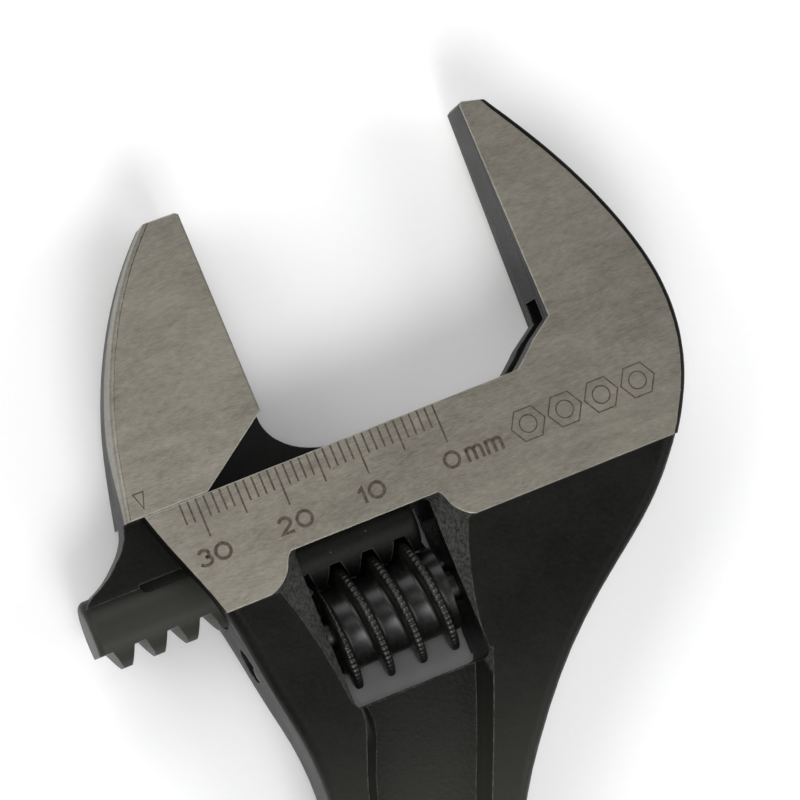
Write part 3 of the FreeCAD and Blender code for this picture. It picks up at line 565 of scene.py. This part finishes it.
def profile_radius(offset):
    """The thread's radius at this distance from the middle of a crest."""
    offset = abs(offset)
    for (near, high), (far, low) in zip(PROFILE, PROFILE[1:]):
        if offset <= far:
            return high + (low - high) * (offset - near) / (far - near)
    return PROFILE[-1][1]


def worm_point(x, angle, radius):
    """A point of the worm: x along its axis, angle from the jaw's side."""
    return head(WORM_START + x, WORM_T + radius * math.cos(angle), radius * math.sin(angle))


print("worm profile of", len(PROFILE), "points,", KNURLS, "knurls round")

# %% Worm mesh
END_CHAMFER = 0.45
END_RADIUS = 6.85
KNURL_FOOT, KNURL_RISE = 6.6, 0.5     # the grooves begin at this radius and reach full depth
CRESTS, CRESTS_BEFORE = 8, 3


def worm_column(turn):
    """The outer points along the axis at one angle, as (x, radius)."""
    lead = FIRST_CREST + PITCH * turn
    angle = turn * math.tau
    groove = KNURL_DEPTH * (0.5 - 0.5 * math.cos(KNURLS * angle)) ** 2.2
    column = []
    for crest in range(-CRESTS_BEFORE, CRESTS - CRESTS_BEFORE):
        middle = lead + PITCH * crest
        offsets = [-o for o, _ in PROFILE[:0:-1]][1:] + [o for o, _ in PROFILE]
        for offset in offsets:
            x = min(max(middle + offset, 0.0), WORM_LENGTH)
            radius = profile_radius((x - lead + PITCH / 2) % PITCH - PITCH / 2)
            on_crest = min(max((radius - KNURL_FOOT) / KNURL_RISE, 0.0), 1.0)
            to_end = min(x, WORM_LENGTH - x)
            radius = min(radius - groove * on_crest, END_RADIUS + to_end / END_CHAMFER)
            column.append((x, radius))
    return column


worm_mesh = bmesh.new()
columns = []
for step in range(STEPS):
    turn = step / STEPS
    angle = turn * math.tau
    ring = worm_column(turn)
    ring += [(WORM_LENGTH, SPRING_BORE), (WORM_LENGTH - SPRING_BORE_DEPTH, SPRING_BORE)]
    ring += [(WORM_LENGTH - SPRING_BORE_DEPTH, BORE_RADIUS), (0.0, BORE_RADIUS)]
    columns.append([worm_mesh.verts.new(worm_point(x, angle, r)) for x, r in ring])
outer_points = len(worm_column(0.0))
crest_points = outer_points // CRESTS
for step, column in enumerate(columns):
    beside = columns[(step + 1) % STEPS]
    match = list(range(len(column)))
    if step == STEPS - 1:
        match[:outer_points] = [min(i + crest_points, outer_points - 1)
                                for i in range(outer_points)]
    for i in range(len(column)):
        j = (i + 1) % len(column)
        if match[i] != match[j]:
            worm_mesh.faces.new((column[i], column[j], beside[match[j]], beside[match[i]]))
bmesh.ops.remove_doubles(worm_mesh, verts=worm_mesh.verts, dist=1e-7)
bmesh.ops.recalc_face_normals(worm_mesh, faces=worm_mesh.faces)
open_edges = sum(not edge.is_manifold for edge in worm_mesh.edges)
print("worm:", len(worm_mesh.faces), "faces,", open_edges, "open edges")

# %% Make the worm an object


def piece_from(work_mesh, name, body, material, smooth_angle=None):
    """Turns a working mesh into a named piece that moves with a body."""
    data = bpy.data.meshes.new(name)
    work_mesh.to_mesh(data)
    work_mesh.free()
    if smooth_angle is not None:
        data.shade_smooth()
        data.set_sharp_from_angle(angle=math.radians(smooth_angle))
    piece = bpy.data.objects.new(name, data)
    scene.collection.objects.link(piece)
    data.materials.append(material)
    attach(piece, body)
    return piece


def plain_metal(name, dark, light, rough, grain_scale, metallic, tooth=0.3):
    """A simple worked metal: streaky noise in its colour, roughness and bump."""
    material = bpy.data.materials.new(name)
    material.use_nodes = True
    tree = material.node_tree
    shader = tree.nodes["Principled BSDF"]
    place = use_group(tree, head_place)["Place"]
    coat = use_group(tree, skin, Place=place, Tooth=tooth)
    edges = use_group(tree, edge_wear_and_highlight, Place=place, Width=0.00012, Amount=0.4)
    wear_and_highlight = edges["Mask"]
    streaks = noise(tree, stretched(tree, place, grain_scale), 1.0, 4.0, 0.65)
    shade = maths(tree, "ADD", maths(tree, "MULTIPLY", streaks, 0.6),
                  maths(tree, "MULTIPLY", coat["Shade"], 0.4))
    colour = mixed(tree, fade(tree, shade, 0.3, 0.7), dark, light)
    # Edges take bare steel: real wear, and a painted highlight along them.
    colour = mixed(tree, wear_and_highlight, colour, BARE_STEEL_AND_HIGHLIGHT)
    height = maths(tree, "ADD", maths(tree, "MULTIPLY", coat["Height"], 0.4),
                   maths(tree, "MULTIPLY", streaks, 0.6))
    bump = add(tree, "Bump", {"Height": height, "Strength": 0.5, "Distance": 0.00002,
                              "Normal": edges["Rounded"]})
    tree.links.new(colour, shader.inputs["Base Color"])
    tree.links.new(between(tree, shade, rough[0], rough[1]), shader.inputs["Roughness"])
    tree.links.new(bump.outputs["Normal"], shader.inputs["Normal"])
    shader.inputs["Metallic"].default_value = metallic
    return material


worm_black = plain_metal("blackened_worm", (0.005, 0.005, 0.005, 1), (0.018, 0.018, 0.016, 1),
                         rough=(0.24, 0.40), grain_scale=(6.0, 0.5, 0.5), metallic=0.25)
worm = piece_from(worm_mesh, "knurled_worm", "knurl", worm_black, 35)
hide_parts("worm")
print("worm rides on knurl")

# %% [markdown]
# ## Pin and spring
# The pin that the worm turns on is turned steel, and the spring beside it is drawn wire.
# Both sit deep in the window and are coloured dark. They take the same recipe as the worm,
# but fully metallic: streaks round the pin's axis, and a slightly brighter wire.

# %% Pin and spring
pin_steel = plain_metal("pin_steel", (0.030, 0.030, 0.028, 1), (0.075, 0.074, 0.070, 1),
                        rough=(0.34, 0.46), grain_scale=(8.0, 0.4, 0.4), metallic=1.0,
                        tooth=0.1)
spring_steel = plain_metal("spring_steel", (0.045, 0.045, 0.043, 1), (0.11, 0.108, 0.10, 1),
                           rough=(0.28, 0.40), grain_scale=(3.0, 3.0, 3.0), metallic=1.0,
                           tooth=0.1)
for node, steel in (("worm_pin", pin_steel), ("worm_spring", spring_steel)):
    for slot in nodes[node].material_slots:
        slot.material = steel
print("pin and spring finished")

# %% [markdown]
# ## The etched scale
# The scale reads the opening in millimetres. On the tool it is burnt or etched into the
# ground face, which leaves a brown line with hardly any depth. Drawing it in the shader
# would need a formula for every digit, so each mark is a thin inlaid solid instead: it
# starts under the ground face and ends a hundredth of a millimetre above it.

# %% Inlaid strokes
PROUD, SUNK = 0.012, 0.10


def stroke(work_mesh, path, width, closed=False):
    """Adds a flat bar of this width that follows a path on the ground face."""
    points = [Vector(p) for p in path]
    count = len(points)
    rails = []
    for i, here in enumerate(points):
        before = points[i - 1] if (closed or i) else None
        after = points[(i + 1) % count] if (closed or i + 1 < count) else None
        into = (here - before).normalized() if before is not None else None
        out = (after - here).normalized() if after is not None else None
        along = ((into or out) + (out or into)).normalized()
        side = Vector((-along.y, along.x))
        reach = 0.5 * width / max(along.dot(out or into), 0.5)
        rails.append((here + side * reach, here - side * reach))
    rows = []
    for left, right in rails:
        rows.append([work_mesh.verts.new(head(p.x, p.y, face_height(p.y) + lift))
                     for lift in (PROUD, -SUNK) for p in (left, right)])
    pairs = [(rows[i], rows[(i + 1) % count]) for i in range(count if closed else count - 1)]
    for (a, b, c, d), (e, f, g, h) in pairs:
        for face in ((a, b, f, e), (d, c, g, h), (c, a, e, g), (b, d, h, f)):
            work_mesh.faces.new(face)
    if not closed:
        a, b, c, d = rows[0]
        work_mesh.faces.new((a, c, d, b))
        a, b, c, d = rows[-1]
        work_mesh.faces.new((a, b, d, c))


def arc(centre, radii, start, stop, steps=14):
    """Points along part of an ellipse, angles in degrees."""
    turns = [math.radians(start + (stop - start) * i / steps) for i in range(steps + 1)]
    return [(centre[0] + radii[0] * math.cos(a), centre[1] + radii[1] * math.sin(a)) for a in turns]


print("strokes stand", PROUD, "mm proud")

# %% Digits and letters
# Each sign is drawn in a box 2.2 mm tall whose lower left corner is its origin.
ZERO = [(arc((1.08, 1.08), (0.90, 0.90), 0, 345, 23), True)]
ONE = [([(0.05, 1.42), (0.62, 1.92), (0.62, 0.0)], False)]
TWO = [(arc((0.90, 1.42), (0.70, 0.60), 165, -25, 12)
        + [(1.20, 0.88), (0.62, 0.50), (0.22, 0.19), (1.72, 0.19)], False)]
THREE = [(arc((0.86, 1.50), (0.62, 0.47), 160, -80, 12), False),
         (arc((0.86, 0.66), (0.74, 0.49), 85, -160, 14), False)]
M_LEFT, M_MIDDLE, M_RIGHT = 0.17, 1.08, 1.99
EM = [([(M_LEFT, 0.0), (M_LEFT, 1.75)], False)]
for foot, hand in ((M_LEFT, M_MIDDLE), (M_MIDDLE, M_RIGHT)):
    span = (hand - foot) / 2
    EM.append((arc((foot + span, 1.12), (span, 0.50), 160, 0, 8) + [(hand, 0.0)], False))
SIGN_WIDTH = {"0": 2.16, "1": 0.85, "2": 1.90, "3": 1.75, "m": 2.16}
SIGNS = {"0": ZERO, "1": ONE, "2": TWO, "3": THREE, "m": EM}
SIGN_STROKE = 0.40
SIGN_GAP = 0.32
BASELINE = -8.05


def write(work_mesh, text, start):
    """Writes signs from start along the slide."""
    for sign in text:
        for path, closed in SIGNS[sign]:
            moved = [(start + x, BASELINE + y) for x, y in path]
            stroke(work_mesh, moved, SIGN_STROKE, closed)
        start += SIGN_WIDTH[sign] + SIGN_GAP


print("signs:", " ".join(SIGNS))

# %% [markdown]
# ## A brown etched line
# Etching leaves iron oxide and soot in the line. Its colour wanders a little and its edge
# breaks up where the ground face is streaky, so it is a mix of two browns by noise.

# %% Etched brown
ETCH_DARK, ETCH_LIGHT = (0.032, 0.024, 0.017, 1), (0.105, 0.082, 0.060, 1)
etched = bpy.data.materials.new("etched_brown")
etched.use_nodes = True
tree = etched.node_tree
shader = tree.nodes["Principled BSDF"]
place = use_group(tree, head_place)["Place"]
etch_noise = fade(tree, noise(tree, place, 2.2, 4.0, 0.7), 0.35, 0.65)
streaks = use_group(tree, grain, Place=place)
tree.links.new(mixed(tree, etch_noise, ETCH_DARK, ETCH_LIGHT), shader.inputs["Base Color"])
tree.links.new(between(tree, etch_noise, 0.5, 0.7), shader.inputs["Roughness"])
bump = add(tree, "Bump", {"Height": streaks["Height"], "Strength": 0.5, "Distance": 0.00001})
tree.links.new(bump.outputs["Normal"], shader.inputs["Normal"])
shader.inputs["Metallic"].default_value = 0.3
print("etched brown ready")

# %% [markdown]
# ## Tick marks and figures
# Ticks stand one millimetre apart from 0 to 32, longer at every fifth and tenth. Each
# figure stands under its own tick, and the unit follows the zero.

# %% Scale on the body
ZERO_TICK = -17.02
TICKS = 33
TICK_TOP = -0.12
TICK_WIDTH = 0.23
TENTH_FOOT, FIFTH_FOOT, TICK_FOOT = -4.87, -3.9, -2.7
ticks = bmesh.new()
for k in range(TICKS):
    foot = TENTH_FOOT if k % 10 == 0 else (FIFTH_FOOT if k % 5 == 0 else TICK_FOOT)
    stroke(ticks, [(ZERO_TICK - k, TICK_TOP), (ZERO_TICK - k, foot)], TICK_WIDTH)
piece_from(ticks, "scale_ticks", "body", etched)

FIGURE_STARTS = {"0": -18.40, "mm": -15.58, "10": -29.15, "20": -39.35, "30": -49.45}
figures = bmesh.new()
for text, start in FIGURE_STARTS.items():
    write(figures, text, start)
piece_from(figures, "scale_figures", "body", etched)
print(TICKS, "ticks and", len(FIGURE_STARTS), "figures")

# %% [markdown]
# ## Pointer and ornament
# A small open triangle on the jaw points at the scale, and meets the zero tick when the jaw
# is closed. Beside the scale, a plain row of hexagon nuts in outline is the only ornament.

# %% Pointer and nut row
POINTER = [(-52.96, 0.95), (-53.60, 2.87), (-52.33, 2.87)]
POINTER_LINE = 0.16
pointer = bmesh.new()
stroke(pointer, POINTER, POINTER_LINE, closed=True)
piece_from(pointer, "jaw_pointer", "jaw", etched)

NUT_RADIUS, NUT_HOLE, NUT_LINE = 2.15, 1.05, 0.17
NUTS, NUT_STEP = 4, 4.7
NUT_START, NUT_LEVEL = -7.3, -6.35
NUT_CENTRES = [(NUT_START + NUT_STEP * i, NUT_LEVEL) for i in range(NUTS)]
nut_row = bmesh.new()
for centre in NUT_CENTRES:
    stroke(nut_row, arc(centre, (NUT_RADIUS, NUT_RADIUS), 0, 300, 5), NUT_LINE, closed=True)
    stroke(nut_row, arc(centre, (NUT_HOLE, NUT_HOLE), 0, 345, 23), NUT_LINE, closed=True)
piece_from(nut_row, "nut_row_mark", "body", etched)
print("pointer and", len(NUT_CENTRES), "nuts")

# %% [markdown]
# ## The floor
# A plain pale sheet of studio paper that the wrench lies on. It isn't part of the object.
# Even paper has a faint fibre, which keeps its shadow from looking computed.

# %% Floor
FLOOR_SIZE = 6.0
PAPER_DARK, PAPER_LIGHT = (0.945, 0.945, 0.945, 1), (0.975, 0.975, 0.975, 1)
paper = bpy.data.materials.new("studio_paper")
paper.use_nodes = True
tree = paper.node_tree
shader = tree.nodes["Principled BSDF"]
fibre = noise(tree, add(tree, "TexCoord").outputs["Object"], 900.0, 3.0)
tree.links.new(mixed(tree, fibre, PAPER_DARK, PAPER_LIGHT), shader.inputs["Base Color"])
shader.inputs["Roughness"].default_value = 0.9
floor_mesh = bpy.data.meshes.new("floor")
half = FLOOR_SIZE / 2
floor_mesh.from_pydata([(-half, -half, 0), (half, -half, 0), (half, half, 0), (-half, half, 0)],
                       [], [(0, 1, 2, 3)])
floor_mesh.materials.append(paper)
floor = bpy.data.objects.new("floor", floor_mesh)
floor.location.z = cad_low.z
scene.collection.objects.link(floor)
print("floor at", round(cad_low.z / MM, 2), "mm")
